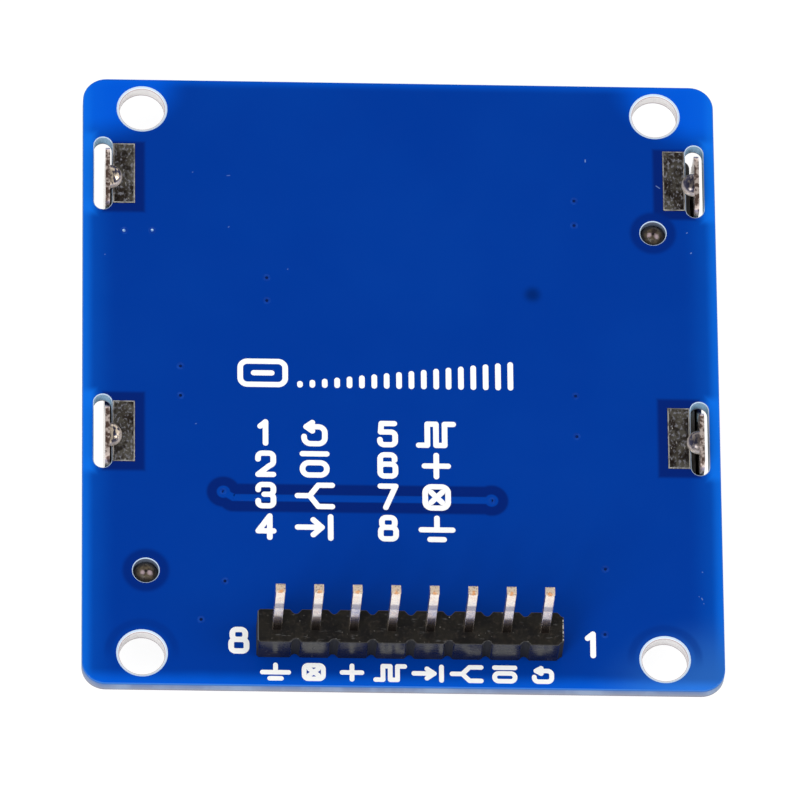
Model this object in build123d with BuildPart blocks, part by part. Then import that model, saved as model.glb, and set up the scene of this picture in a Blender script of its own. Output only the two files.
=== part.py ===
from build123d import *
import os

# Graphic display module: a blue circuit board, a display cell held to it by a stamped
# metal bezel with four snap clips, and an eight-way pin header. All sizes are in mm.
# The module lies on the face of its bezel, so the back of the board and the pins point
# up. The origin is the middle of the board's outline on the plane that the bezel rests
# on. +Y runs away from the header, and +X is to the right as the back is seen.

# Circuit board
board_width = 42.8
board_length = 45.0
board_thickness = 1.0
board_corner_radius = 1.6
edge_break = 0.06

mount_hole_diameter = 3.06
mount_hole_rim = 0.2
mount_hole_rim_angle = 118
mount_hole_edge_x = 4.0
mount_hole_edge_y = 2.25

slot_width = 1.2
slot_length = 5.4
slot_edge_distance = 1.37
slot_pitch_y = 19.3
slot_top_distance = 7.15

clip_pad_width = 1.5
clip_pad_length = 4.5
plating_thickness = 0.05

# Bezel, folded from one sheet
bezel_sheet = 0.3
bezel_shift_x = 0.2
bezel_bend_radius = 0.55
bezel_corner_radius = 0.9
bezel_wall_gap = 0.3
bezel_corner_relief = 1.5
bezel_header_gap = 2.55
bezel_hole_gap = 0.82
window_side_band = 2.2
window_near_band = 2.0
window_far_band = 7.4
window_corner_radius = 0.5

clip_near_gap = 0.25
clip_far_gap = 0.95
clip_play = 0.1
clip_rise = 0.9
clip_corner_radius = 0.8
barb_reach = 0.85
barb_clearance = 0.06
barb_rim = 0.12
barb_wall = 0.2

# Display cell and light guide
polariser_thickness = 0.18
polariser_inset = 0.2
glass_thickness = 0.55
contact_ledge = 5.2
film_thickness = 0.1
guide_thickness = 1.8
guide_foot_height = 0.24
guide_clearance = 0.2
guide_rim = 0.9
glass_clearance = 0.1
guide_corner_radius = 0.6

peg_diameter = 1.6
peg_hole_diameter = 1.74
peg_point = 0.4
peg_sink = 0.12
peg_inset_x = 4.25
upper_peg_from_top = 11.1
lower_peg_from_bottom = 8.3
film_peg_clearance = 0.2

chip_length = 9.6
chip_width = 1.5
chip_thickness = 0.45
chip_ledge_gap = 0.9

strip_width = 2.0
strip_length = 24.0
strip_edge_distance = 0.3
strip_clearance = 0.15

contact_count = 8
contact_pitch = 2.8
contact_width = 1.6
contact_overhang = 0.1

led_width = 0.8
led_length = 1.6
led_height = 0.6
led_pitch_y = 12.0
led_edge_distance = 1.2
led_clearance = 0.15

resistor_length = 1.6
resistor_width = 0.8
resistor_height = 0.45
capacitor_length = 2.0
capacitor_width = 1.25
capacitor_height = 0.85
passive_clearance = 0.2

# Pin header
pin_count = 8
pin_pitch = 2.54
pin_size = 0.64
pin_length = 11.4
pin_rise = 6.0
pin_point = 0.14
pin_edge_round = 0.05
header_height = 2.5
header_depth = 2.4
header_edge_distance = 3.25
header_shift_x = 0.35
header_end_corner = 0.15
front_notch_width = 0.72
front_notch_depth = 0.14
back_notch_width = 0.8
back_notch_depth = 0.2
notch_throat_width = 0.44
notch_throat_arch = 0.12
header_edge_round = 0.08
pin_hole_diameter = 1.0
solder_diameter = 1.7
solder_height = 1.1
solder_neck = 0.95

# Print
ink_thickness = 0.03
ink_stroke = 0.38
small_ink_stroke = 0.32
digit_width = 1.4
digit_height = 1.95
symbol_width = 2.7
legend_row_pitch = 2.32
legend_first_row = 3.93
legend_digit_x = (-9.13, -0.95)
legend_symbol_x = (-5.85, 2.3)
title_y = 0.5
title_left = -11.0
title_right = 7.35
title_height = 2.1
title_icon_width = 3.4
title_bar_count = 18
title_bar_gap = 0.8
title_bar_start = 5
mark_roundness = 0.28
small_symbol_width = 2.25
small_symbol_height = 1.3
small_symbol_edge = 1.0
left_digit_gap = 1.16
right_digit_gap = 2.1

# Places in the plane of the board
top_edge = board_length / 2
right_edge = board_width / 2
hole_x = right_edge - mount_hole_edge_x
hole_y = top_edge - mount_hole_edge_y
slot_x = right_edge - slot_edge_distance
slot_upper_y = top_edge - slot_top_distance
slot_rows = (slot_upper_y, slot_upper_y - slot_pitch_y)
header_y = header_edge_distance - top_edge
pin_xs = [header_shift_x + (i - (pin_count - 1) / 2) * pin_pitch for i in range(pin_count)]

# Bezel outline, from the slots, the header and the far mounting holes
bezel_width = 2 * (slot_x - clip_play) + bezel_sheet
bezel_near_y = header_y + bezel_header_gap
bezel_far_y = hole_y - mount_hole_diameter / 2 - bezel_hole_gap
bezel_length = bezel_far_y - bezel_near_y
bezel_y = (bezel_far_y + bezel_near_y) / 2
window_width = bezel_width - 2 * window_side_band
window_length = bezel_length - window_near_band - window_far_band
window_y = bezel_near_y + window_near_band + window_length / 2
clip_length = slot_length - clip_near_gap - clip_far_gap
clip_rows = [y + (clip_near_gap - clip_far_gap) / 2 for y in slot_rows]

# Light guide and glass, from the inside of the bezel
guide_width = bezel_width - 2 * bezel_sheet - 2 * guide_clearance
guide_length = bezel_length - 2 * bezel_sheet - 2 * guide_clearance
pocket_width = guide_width - 2 * guide_rim
pocket_length = guide_length - 2 * guide_rim
glass_width = pocket_width - 2 * glass_clearance
glass_length = pocket_length - 2 * glass_clearance
glass_near_y = bezel_y - glass_length / 2
glass_far_y = bezel_y + glass_length / 2
rear_glass_length = glass_length - contact_ledge
rear_glass_y = glass_near_y + rear_glass_length / 2
film_width = glass_width - 2 * polariser_inset
film_length = rear_glass_length - 2 * polariser_inset

# The stack, from the bezel's face up
z_polariser = bezel_sheet
z_front_glass = z_polariser + polariser_thickness
z_rear_glass = z_front_glass + glass_thickness
z_rear_polariser = z_rear_glass + glass_thickness
z_diffuser = z_rear_polariser + polariser_thickness
z_guide = z_diffuser + film_thickness
z_reflector = z_guide + guide_thickness
z_board = z_reflector + film_thickness + guide_foot_height
z_back = z_board + board_thickness
z_wall = z_board - bezel_wall_gap
z_clip = z_back + clip_rise

# Places inside the stack
strip_y = glass_far_y - strip_edge_distance - strip_width / 2
chip_y = glass_far_y - contact_ledge + chip_ledge_gap + chip_width / 2
reflector_far_y = glass_far_y - contact_ledge + chip_ledge_gap
peg_x = right_edge - peg_inset_x
peg_places = [(peg_x, top_edge - upper_peg_from_top), (-peg_x, lower_peg_from_bottom - top_edge)]
led_x = guide_width / 2 - led_edge_distance
led_y = rear_glass_y
led_places = [
    (bezel_shift_x + side * led_x, led_y + row * led_pitch_y / 2) for row in (1, -1) for side in (-1, 1)
]
passive_x = (strip_length + pocket_width) / 4
resistor_place = (bezel_shift_x - passive_x, strip_y)
capacitor_place = (bezel_shift_x + passive_x, strip_y)

os.makedirs("parts", exist_ok=True)


# Circuit board, with clip slots, peg holes, pin holes and corner holes broken at their rims
with BuildPart() as circuit_board:
    with BuildSketch(Plane.XY.offset(z_board)):
        RectangleRounded(board_width, board_length, board_corner_radius)
        with Locations([(side * slot_x, y) for side in (-1, 1) for y in slot_rows]):
            SlotOverall(slot_length, slot_width, rotation=90, mode=Mode.SUBTRACT)
        with Locations(peg_places):
            Circle(peg_hole_diameter / 2, mode=Mode.SUBTRACT)
        with Locations([(x, header_y) for x in pin_xs]):
            Circle(pin_hole_diameter / 2, mode=Mode.SUBTRACT)
    extrude(amount=board_thickness)
    chamfer(circuit_board.faces().sort_by(Axis.Z)[-1].edges(), edge_break)
    with Locations((0, 0, z_back)):
        with GridLocations(2 * hole_x, 2 * hole_y, 2, 2):
            CounterSinkHole(
                mount_hole_diameter / 2,
                mount_hole_diameter / 2 + mount_hole_rim,
                counter_sink_angle=mount_hole_rim_angle,
            )
circuit_board.part.label = "circuit_board"
export_step(circuit_board.part, "parts/circuit_board.step")

# Tinned pads beside the slots, on the back
clip_pad_x = slot_x - slot_width / 2 - clip_pad_width / 2 - edge_break
clip_pad_names = ["left_upper", "left_lower", "right_upper", "right_lower"]
clip_pad_places = [(side * clip_pad_x, y) for side in (-1, 1) for y in slot_rows]
for pad_name, pad_place in zip(clip_pad_names, clip_pad_places):
    with BuildPart() as clip_pad:
        with BuildSketch(Plane.XY.offset(z_back)):
            with Locations(pad_place):
                Rectangle(clip_pad_width, clip_pad_length)
        extrude(amount=plating_thickness)
    clip_pad.part.label = f"clip_pad_{pad_name}"
    export_step(clip_pad.part, f"parts/clip_pad_{pad_name}.step")

# Bezel: a shallow tray with a window, open corners and four clips with pressed barbs
with BuildPart() as bezel:
    with BuildSketch(Plane.XY):
        with Locations((bezel_shift_x, bezel_y)):
            RectangleRounded(bezel_width, bezel_length, bezel_corner_radius)
    extrude(amount=z_wall)
    fillet(bezel.faces().sort_by(Axis.Z)[0].edges(), bezel_bend_radius)
    offset(amount=-bezel_sheet, openings=bezel.faces().sort_by(Axis.Z)[-1])
    with BuildSketch(Plane.XY):
        with Locations((bezel_shift_x, window_y)):
            RectangleRounded(window_width, window_length, window_corner_radius)
    extrude(amount=bezel_sheet, mode=Mode.SUBTRACT)
    with BuildSketch(Plane.XY.offset(bezel_bend_radius + bezel_sheet)):
        with Locations((bezel_shift_x, bezel_y)):
            with GridLocations(bezel_width, bezel_length, 2, 2):
                Rectangle(bezel_corner_relief, bezel_corner_relief)
    extrude(amount=z_wall, mode=Mode.SUBTRACT)
    clip_plate_x = bezel_width / 2 - bezel_sheet / 2
    with BuildSketch(Plane.XY.offset(z_wall)):
        with Locations([(bezel_shift_x + side * clip_plate_x, y) for side in (-1, 1) for y in clip_rows]):
            Rectangle(bezel_sheet, clip_length)
    extrude(amount=z_clip - z_wall)
    fillet(bezel.edges().filter_by(Axis.X).group_by(Axis.Z)[-1], clip_corner_radius)
    # Each barb is slit from its clip along the bottom and pressed inwards as half a dome
    barb_z = z_back + plating_thickness + barb_clearance
    barb_height = z_clip - barb_rim - barb_z
    barb_skins = ((0, Mode.ADD), (barb_wall, Mode.SUBTRACT))
    for side in (-1, 1):
        for y in clip_rows:
            inner_x = bezel_shift_x + side * (bezel_width / 2 - bezel_sheet)
            barb_plane = Plane(origin=(inner_x, y, barb_z), x_dir=(0, 1, 0), z_dir=(1, 0, 0))
            for depth, mode in barb_skins:
                reach = barb_reach - depth
                height = barb_height - depth
                with BuildSketch(barb_plane):
                    with BuildLine():
                        EllipticalCenterArc((0, 0), reach, height, arc_size=90)
                        Polyline((0, height), (0, 0), (reach, 0))
                    make_face()
                revolve(axis=Axis((inner_x, y, barb_z), (0, 0, side)), revolution_arc=180, mode=mode)
            with BuildSketch(barb_plane):
                with BuildLine():
                    EllipticalCenterArc((0, 0), reach, height, arc_size=180)
                    Line((-reach, 0), (reach, 0))
                make_face()
            extrude(amount=side * bezel_sheet, mode=Mode.SUBTRACT)
bezel.part.label = "bezel"
export_step(bezel.part, "parts/bezel.step")

# Front polariser, trapped behind the window
with BuildPart() as front_polariser:
    with BuildSketch(Plane.XY.offset(z_polariser)):
        with Locations((bezel_shift_x, rear_glass_y)):
            Rectangle(film_width, film_length)
    extrude(amount=polariser_thickness)
front_polariser.part.label = "front_polariser"
export_step(front_polariser.part, "parts/front_polariser.step")

# Front glass, longer than the rear glass by the contact ledge
with BuildPart() as front_glass:
    with BuildSketch(Plane.XY.offset(z_front_glass)):
        with Locations((bezel_shift_x, bezel_y)):
            Rectangle(glass_width, glass_length)
    extrude(amount=glass_thickness)
front_glass.part.label = "front_glass"
export_step(front_glass.part, "parts/front_glass.step")

# Rear glass
with BuildPart() as rear_glass:
    with BuildSketch(Plane.XY.offset(z_rear_glass)):
        with Locations((bezel_shift_x, rear_glass_y)):
            Rectangle(glass_width, rear_glass_length)
    extrude(amount=glass_thickness)
rear_glass.part.label = "rear_glass"
export_step(rear_glass.part, "parts/rear_glass.step")

# Rear polariser
with BuildPart() as rear_polariser:
    with BuildSketch(Plane.XY.offset(z_rear_polariser)):
        with Locations((bezel_shift_x, rear_glass_y)):
            Rectangle(film_width, film_length)
    extrude(amount=polariser_thickness)
rear_polariser.part.label = "rear_polariser"
export_step(rear_polariser.part, "parts/rear_polariser.step")

# Diffuser film on the light guide
with BuildPart() as diffuser_film:
    with BuildSketch(Plane.XY.offset(z_diffuser)):
        with Locations((bezel_shift_x, rear_glass_y)):
            Rectangle(film_width, film_length)
    extrude(amount=film_thickness)
diffuser_film.part.label = "diffuser_film"
export_step(diffuser_film.part, "parts/diffuser_film.step")

# Controller chip on the ledge of the front glass
with BuildPart() as controller_chip:
    with BuildSketch(Plane.XY.offset(z_rear_glass)):
        with Locations((bezel_shift_x, chip_y)):
            Rectangle(chip_length, chip_width)
    extrude(amount=chip_thickness)
controller_chip.part.label = "controller_chip"
export_step(controller_chip.part, "parts/controller_chip.step")

# Light guide: a rimmed tray for the glass, a plate behind it and two locating pegs
with BuildPart() as light_guide:
    with BuildSketch(Plane.XY.offset(bezel_sheet)):
        with Locations((bezel_shift_x, bezel_y)):
            RectangleRounded(guide_width, guide_length, guide_corner_radius)
    extrude(amount=z_board - bezel_sheet)
    chamfer(light_guide.faces().sort_by(Axis.Z)[0].edges(), bezel_bend_radius - bezel_sheet)
    with BuildSketch(Plane.XY.offset(bezel_sheet)):
        with Locations((bezel_shift_x, bezel_y)):
            Rectangle(pocket_width, pocket_length)
    extrude(amount=z_guide - bezel_sheet, mode=Mode.SUBTRACT)
    with BuildSketch(Plane.XY.offset(z_reflector)):
        with Locations((bezel_shift_x, bezel_y)):
            Rectangle(pocket_width, pocket_length)
    extrude(amount=z_board - z_reflector, mode=Mode.SUBTRACT)
    with BuildSketch(Plane.XY.offset(z_guide)):
        with Locations((bezel_shift_x, strip_y)):
            Rectangle(strip_length + 2 * strip_clearance, strip_width + 2 * strip_clearance)
    extrude(amount=z_board - z_guide, mode=Mode.SUBTRACT)
    with BuildSketch(Plane.XY.offset(z_board)):
        with Locations(led_places):
            Rectangle(led_width + 2 * led_clearance, led_length + 2 * led_clearance)
    extrude(amount=-led_height - led_clearance, mode=Mode.SUBTRACT)
    with BuildSketch(Plane.XY.offset(z_board)):
        with Locations(resistor_place, capacitor_place):
            Rectangle(capacitor_width + 2 * passive_clearance, capacitor_length + 2 * passive_clearance)
    extrude(amount=-capacitor_height - passive_clearance, mode=Mode.SUBTRACT)
    with BuildSketch(Plane.XY.offset(z_reflector)):
        with Locations(peg_places):
            Circle(peg_diameter / 2)
    extrude(amount=z_back - peg_sink - z_reflector)
    chamfer(light_guide.edges().group_by(Axis.Z)[-1], peg_point)
light_guide.part.label = "light_guide"
export_step(light_guide.part, "parts/light_guide.step")

# Reflector film behind the light guide, with two corners cut away around the pegs
with BuildPart() as reflector_film:
    peg_room = peg_diameter / 2 + film_peg_clearance
    upper_peg, lower_peg = peg_places
    with BuildSketch(Plane.XY.offset(z_reflector)):
        with Locations((bezel_shift_x, (glass_near_y + reflector_far_y) / 2)):
            Rectangle(2 * (led_x - led_width / 2 - led_clearance), reflector_far_y - glass_near_y)
        with Locations((upper_peg[0] - peg_room, upper_peg[1] - peg_room)):
            Rectangle(contact_ledge, contact_ledge, align=(Align.MIN, Align.MIN), mode=Mode.SUBTRACT)
        with Locations((lower_peg[0] + peg_room, lower_peg[1] + peg_room)):
            Rectangle(contact_ledge, contact_ledge, align=(Align.MAX, Align.MAX), mode=Mode.SUBTRACT)
    extrude(amount=film_thickness)
reflector_film.part.label = "reflector_film"
export_step(reflector_film.part, "parts/reflector_film.step")

# Gold contacts on the display side of the board
with BuildPart() as contact_fingers:
    with BuildSketch(Plane.XY.offset(z_board)):
        with Locations((bezel_shift_x, strip_y)):
            with GridLocations(contact_pitch, 0, contact_count, 1):
                Rectangle(contact_width, strip_width + 2 * contact_overhang)
    extrude(amount=-plating_thickness)
contact_fingers.part.label = "contact_fingers"
export_step(contact_fingers.part, "parts/contact_fingers.step")

# Conductive rubber strip from the glass ledge to the gold contacts
with BuildPart() as rubber_strip:
    with BuildSketch(Plane.XY.offset(z_rear_glass)):
        with Locations((bezel_shift_x, strip_y)):
            Rectangle(strip_length, strip_width)
    extrude(amount=z_board - plating_thickness - z_rear_glass)
rubber_strip.part.label = "rubber_strip"
export_step(rubber_strip.part, "parts/rubber_strip.step")

# Side LEDs in their pockets at the ends of the light guide
for i, led_place in enumerate(led_places):
    with BuildPart() as side_led:
        with BuildSketch(Plane.XY.offset(z_board)):
            with Locations(led_place):
                Rectangle(led_width, led_length)
        extrude(amount=-led_height)
        chamfer(side_led.edges().group_by(Axis.Z)[0], edge_break)
    side_led.part.label = f"side_led_{i + 1}"
    export_step(side_led.part, f"parts/side_led_{i + 1}.step")

# Series resistor and reservoir capacitor beside the rubber strip
with BuildPart() as series_resistor:
    with BuildSketch(Plane.XY.offset(z_board)):
        with Locations(resistor_place):
            Rectangle(resistor_width, resistor_length)
    extrude(amount=-resistor_height)
    chamfer(series_resistor.edges().group_by(Axis.Z)[0], edge_break)
series_resistor.part.label = "series_resistor"
export_step(series_resistor.part, "parts/series_resistor.step")

with BuildPart() as reservoir_capacitor:
    with BuildSketch(Plane.XY.offset(z_board)):
        with Locations(capacitor_place):
            Rectangle(capacitor_width, capacitor_length)
    extrude(amount=-capacitor_height)
    chamfer(reservoir_capacitor.edges().group_by(Axis.Z)[0], edge_break)
reservoir_capacitor.part.label = "reservoir_capacitor"
export_step(reservoir_capacitor.part, "parts/reservoir_capacitor.step")


# Header body: a bar of one segment for each pin, notched between them on both sides. Its
# right end was snapped from a longer bar at a notch, and its left end is the bar's own.
with BuildPart() as header_body:
    notch_rows = ((-1, front_notch_width, front_notch_depth), (1, back_notch_width, back_notch_depth))
    with BuildSketch(Plane.XY.offset(z_back)) as header_outline:
        with Locations((header_shift_x, header_y)):
            Rectangle(pin_count * pin_pitch, header_depth)
        chamfer(header_outline.vertices().group_by(Axis.X)[0], header_end_corner)
        for side, notch_width, notch_depth in notch_rows:
            notch_y = header_y + side * header_depth / 2
            throat_y = notch_y - side * notch_depth
            for i in range(1, pin_count + 1):
                notch_x = header_shift_x + (i - pin_count / 2) * pin_pitch
                with BuildLine():
                    Polyline(
                        (notch_x - notch_throat_width / 2, throat_y),
                        (notch_x - notch_width / 2, notch_y),
                        (notch_x + notch_width / 2, notch_y),
                        (notch_x + notch_throat_width / 2, throat_y),
                    )
                    ThreePointArc(
                        (notch_x - notch_throat_width / 2, throat_y),
                        (notch_x, throat_y - side * notch_throat_arch),
                        (notch_x + notch_throat_width / 2, throat_y),
                    )
                make_face(mode=Mode.SUBTRACT)
    extrude(amount=header_height)
    fillet(header_body.faces().sort_by(Axis.Z)[-1].edges(), header_edge_round)
    with BuildSketch(Plane.XY.offset(z_back)):
        with Locations([(x, header_y) for x in pin_xs]):
            Rectangle(pin_size, pin_size)
    extrude(amount=header_height, mode=Mode.SUBTRACT)
header_body.part.label = "header_body"
export_step(header_body.part, "parts/header_body.step")

# Header pins, one square pin through each segment, pointed at both ends
z_pin_top = z_back + header_height + pin_rise
for i, x in enumerate(pin_xs):
    with BuildPart() as header_pin:
        with BuildSketch(Plane.XY.offset(z_pin_top)):
            with Locations((x, header_y)):
                Rectangle(pin_size, pin_size)
        extrude(amount=-pin_length)
        chamfer(header_pin.edges().group_by(Axis.Z)[-1], pin_point)
        chamfer(header_pin.edges().group_by(Axis.Z)[0], pin_point)
        fillet(header_pin.edges().filter_by(Axis.Z), pin_edge_round)
    header_pin.part.label = f"header_pin_{i + 1}"
    export_step(header_pin.part, f"parts/header_pin_{i + 1}.step")

# Solder joints: each fills its hole around the pin and climbs the pin's tail
for i, x in enumerate(pin_xs):
    with BuildPart() as solder_joint:
        with BuildSketch(Plane.XZ.offset(-header_y)):
            with BuildLine():
                Polyline(
                    (x, z_back),
                    (x + pin_hole_diameter / 2, z_back),
                    (x + pin_hole_diameter / 2, z_board),
                    (x + solder_diameter / 2, z_board),
                )
                ThreePointArc(
                    (x + solder_diameter / 2, z_board),
                    (x + (solder_diameter + solder_neck) / 4 - edge_break, z_board - solder_height / 3),
                    (x + solder_neck / 2, z_board - solder_height),
                )
                Polyline(
                    (x + solder_neck / 2, z_board - solder_height),
                    (x, z_board - solder_height),
                    (x, z_back),
                )
            make_face()
        revolve(axis=Axis((x, header_y, 0), (0, 0, 1)))
        with BuildSketch(Plane.XY.offset(z_board - solder_height)):
            with Locations((x, header_y)):
                Rectangle(pin_size, pin_size)
        extrude(amount=solder_height + board_thickness, mode=Mode.SUBTRACT)
    solder_joint.part.label = f"solder_joint_{i + 1}"
    export_step(solder_joint.part, f"parts/solder_joint_{i + 1}.step")


# Print on the back. A mark is a list of strokes in a cell of one by one, each with its
# points, whether its corners are round and whether it closes on itself.
def sharp(*points):
    return points, False, False


def curved(*points):
    return points, True, False


def ring(*points):
    return points, True, True


digits = {
    1: [sharp((0.15, 0.8), (0.5, 1), (0.5, 0))],
    2: [curved((0, 0.72), (0, 1), (1, 1), (1, 0.5), (0.72, 0.4)), sharp((0.76, 0.42), (0, 0), (1, 0))],
    3: [curved((0, 0.76), (0, 1), (1, 1), (1, 0.54), (0.4, 0.54)),
        curved((0.4, 0.54), (1, 0.54), (1, 0), (0, 0), (0, 0.24))],
    4: [sharp((0.75, 0), (0.75, 1), (0, 0.3), (1, 0.3))],
    5: [sharp((0.95, 1), (0.1, 1), (0.05, 0.6), (0.4, 0.6)),
        curved((0.3, 0.6), (1, 0.6), (1, 0), (0, 0), (0, 0.24))],
    6: [curved((0.95, 0.76), (0.95, 1), (0, 1), (0, 0.3)), ring((0, 0), (1, 0), (1, 0.56), (0, 0.56))],
    7: [sharp((0, 1), (1, 1), (0.35, 0))],
    8: [ring((0.08, 0.54), (0.92, 0.54), (0.92, 1), (0.08, 1)), ring((0, 0), (1, 0), (1, 0.54), (0, 0.54))],
}

# One plain symbol for each pin: reset, enable, select, data, clock, supply, light, ground
symbols = {
    1: [curved((0.2, 0.34), (0.2, 0), (0.8, 0), (0.8, 0.8), (0.3, 0.8)),
        sharp((0.44, 1), (0.26, 0.8), (0.44, 0.6))],
    2: [ring((0.15, 0), (0.85, 0), (0.85, 0.58), (0.15, 0.58)), sharp((0.15, 1), (0.85, 1))],
    3: [sharp((0, 0.5), (0.35, 0.5), (0.6, 1), (1, 1)), sharp((0.35, 0.5), (0.6, 0), (1, 0))],
    4: [sharp((0, 0.5), (0.7, 0.5)), sharp((0.45, 0.85), (0.7, 0.5), (0.45, 0.15)),
        sharp((0.95, 1), (0.95, 0))],
    5: [sharp((0, 0), (0.25, 0), (0.25, 1), (0.5, 1), (0.5, 0), (0.75, 0), (0.75, 1), (1, 1))],
    6: [sharp((0.16, 0.5), (0.84, 0.5)), sharp((0.5, 0), (0.5, 1))],
    7: [ring((0.17, 0), (0.83, 0), (0.83, 1), (0.17, 1)),
        sharp((0.34, 0.26), (0.66, 0.74)), sharp((0.34, 0.74), (0.66, 0.26))],
    8: [sharp((0.5, 1), (0.5, 0.45)), sharp((0.05, 0.45), (0.95, 0.45)), sharp((0.3, 0), (0.7, 0))],
}


# Draws a mark in the open sketch, with its cell centred on a place
def draw_mark(strokes, place, width, height, pen):
    span_x = width - pen
    span_y = height - pen
    corner = mark_roundness * min(span_x, span_y)
    for points, is_round, is_closed in strokes:
        spots = [(place[0] + (u - 0.5) * span_x, place[1] + (v - 0.5) * span_y) for u, v in points]
        if is_round:
            with BuildLine(mode=Mode.PRIVATE) as path:
                FilletPolyline(*spots, radius=corner, close=is_closed)
            trace(path.line, line_width=pen)
            spots = [spots[0], spots[-1]]
        else:
            for start, end in zip(spots, spots[1:]):
                trace(Edge.make_line(start, end), line_width=pen)
        if not is_closed:
            with Locations(*spots):
                Circle(pen / 2)


# Title line: an outlined screen and a wedge of rising bars
with BuildPart() as title_print:
    bar_left = title_left + title_icon_width + title_bar_gap
    bar_pitch = (title_right - bar_left) / (title_bar_count - 1)
    title_low = title_y - title_height / 2
    with BuildSketch(Plane.XY.offset(z_back)):
        draw_mark(
            [ring((0, 0), (1, 0), (1, 1), (0, 1)), sharp((0.3, 0.5), (0.7, 0.5))],
            (title_left + title_icon_width / 2, title_y),
            title_icon_width,
            title_height,
            ink_stroke,
        )
        for i in range(title_bar_count):
            bar_height = title_height * (i + title_bar_start) / (title_bar_count - 1 + title_bar_start)
            with Locations((bar_left + i * bar_pitch, title_low + bar_height / 2)):
                SlotOverall(bar_height, ink_stroke, rotation=90)
    extrude(amount=ink_thickness)
title_print.part.label = "title_print"
export_step(title_print.part, "parts/title_print.step")

# Legend: the pins' numbers in two columns, each with its symbol
with BuildPart() as legend_print:
    legend_rows = (pin_count + 1) // 2
    with BuildSketch(Plane.XY.offset(z_back)):
        for i in range(pin_count):
            column = i // legend_rows
            row_y = -legend_first_row - (i % legend_rows) * legend_row_pitch
            number = i % len(digits) + 1
            digit_place = (legend_digit_x[column], row_y)
            symbol_place = (legend_symbol_x[column], row_y)
            draw_mark(digits[number], digit_place, digit_width, digit_height, ink_stroke)
            draw_mark(symbols[number], symbol_place, symbol_width, digit_height, ink_stroke)
    extrude(amount=ink_thickness)
legend_print.part.label = "legend_print"
export_step(legend_print.part, "parts/legend_print.step")

# Marks at the header: a symbol under each pin and the first and last number beside it
with BuildPart() as header_print:
    header_half = pin_count * pin_pitch / 2
    first_place = (header_shift_x + header_half + right_digit_gap, header_y)
    last_place = (header_shift_x - header_half - left_digit_gap, header_y)
    with BuildSketch(Plane.XY.offset(z_back)):
        for i, x in enumerate(pin_xs):
            draw_mark(
                symbols[(pin_count - 1 - i) % len(symbols) + 1],
                (x, small_symbol_edge - top_edge),
                small_symbol_width,
                small_symbol_height,
                small_ink_stroke,
            )
        last_number = (pin_count - 1) % len(digits) + 1
        draw_mark(digits[1], first_place, digit_width, digit_height, ink_stroke)
        draw_mark(digits[last_number], last_place, digit_width, digit_height, ink_stroke)
    extrude(amount=ink_thickness)
header_print.part.label = "header_print"
export_step(header_print.part, "parts/header_print.step")
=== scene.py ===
import math
import bpy
import bmesh
from mathutils import Matrix, Vector


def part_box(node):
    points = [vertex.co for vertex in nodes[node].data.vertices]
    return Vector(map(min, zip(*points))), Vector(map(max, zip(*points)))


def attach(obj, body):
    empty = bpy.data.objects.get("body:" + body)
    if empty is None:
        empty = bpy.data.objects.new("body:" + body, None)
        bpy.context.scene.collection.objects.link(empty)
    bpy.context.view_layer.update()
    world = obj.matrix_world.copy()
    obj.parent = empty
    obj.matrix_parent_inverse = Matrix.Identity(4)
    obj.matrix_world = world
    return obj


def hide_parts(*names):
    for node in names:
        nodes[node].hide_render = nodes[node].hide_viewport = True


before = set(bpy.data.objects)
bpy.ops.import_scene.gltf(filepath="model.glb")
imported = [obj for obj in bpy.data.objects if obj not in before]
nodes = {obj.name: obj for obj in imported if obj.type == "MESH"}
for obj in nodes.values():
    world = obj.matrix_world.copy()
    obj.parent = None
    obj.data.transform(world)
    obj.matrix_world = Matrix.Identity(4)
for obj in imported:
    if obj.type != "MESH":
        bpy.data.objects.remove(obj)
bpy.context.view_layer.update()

mm = 0.001


def span(nodeName):
    # a node's lowest and highest corners in millimetres
    low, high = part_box(nodeName)
    return low / mm, high / mm


# Shader maths: a wire is a node's output, and sums on wires add their nodes
class Wire:
    def __init__(self, shader, socket):
        self.shader = shader
        self.socket = socket

    def maths(self, operation, *others):
        values = dict(enumerate((self,) + others))
        return self.shader.node("ShaderNodeMath", {"operation": operation}, values)

    def __add__(self, other):
        return self.maths("ADD", other)

    __radd__ = __add__

    def __sub__(self, other):
        return self.maths("SUBTRACT", other)

    def __rsub__(self, other):
        return (self * -1.0).maths("ADD", other)

    def __mul__(self, other):
        return self.maths("MULTIPLY", other)

    __rmul__ = __mul__

    def __abs__(self):
        return self.maths("ABSOLUTE")

    def smaller(self, other):
        return self.maths("MINIMUM", other)

    def larger(self, other):
        return self.maths("MAXIMUM", other)


def paint(red, green, blue):
    # a colour as a paint program shows it, 0 to 255, made linear
    def linear(value):
        value = value / 255
        return value / 12.92 if value <= 0.04045 else ((value + 0.055) / 1.055) ** 2.4

    return (linear(red), linear(green), linear(blue), 1.0)


class Shader:
    # the nodes of a world or of a material
    def __init__(self, tree):
        self.tree = tree

    def node(self, kind, settings, values, output=0):
        node = self.tree.nodes.new(kind)
        for words, value in settings.items():
            setattr(node, words, value)
        for words, value in values.items():
            if isinstance(value, Wire):
                self.tree.links.new(value.socket, node.inputs[words])
            else:
                node.inputs[words].default_value = value
        return Wire(self, node.outputs[output])

    def other(self, wire, output):
        # another output of the node that a wire comes from
        return Wire(self, wire.socket.node.outputs[output])

    def fade(self, wire, start, end):
        # smooth step from 0 at start to 1 at end
        values = {"Value": wire, "From Min": start, "From Max": end}
        return self.node("ShaderNodeMapRange", {"interpolation_type": "SMOOTHSTEP"}, values)

    def blend(self, factor, first, second):
        # Mix's inputs 0, 6 and 7 are its factor and two colours, and output 2 is the mixed colour
        values = {0: factor, 6: first, 7: second}
        return self.node("ShaderNodeMix", {"data_type": "RGBA"}, values, 2)


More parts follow.
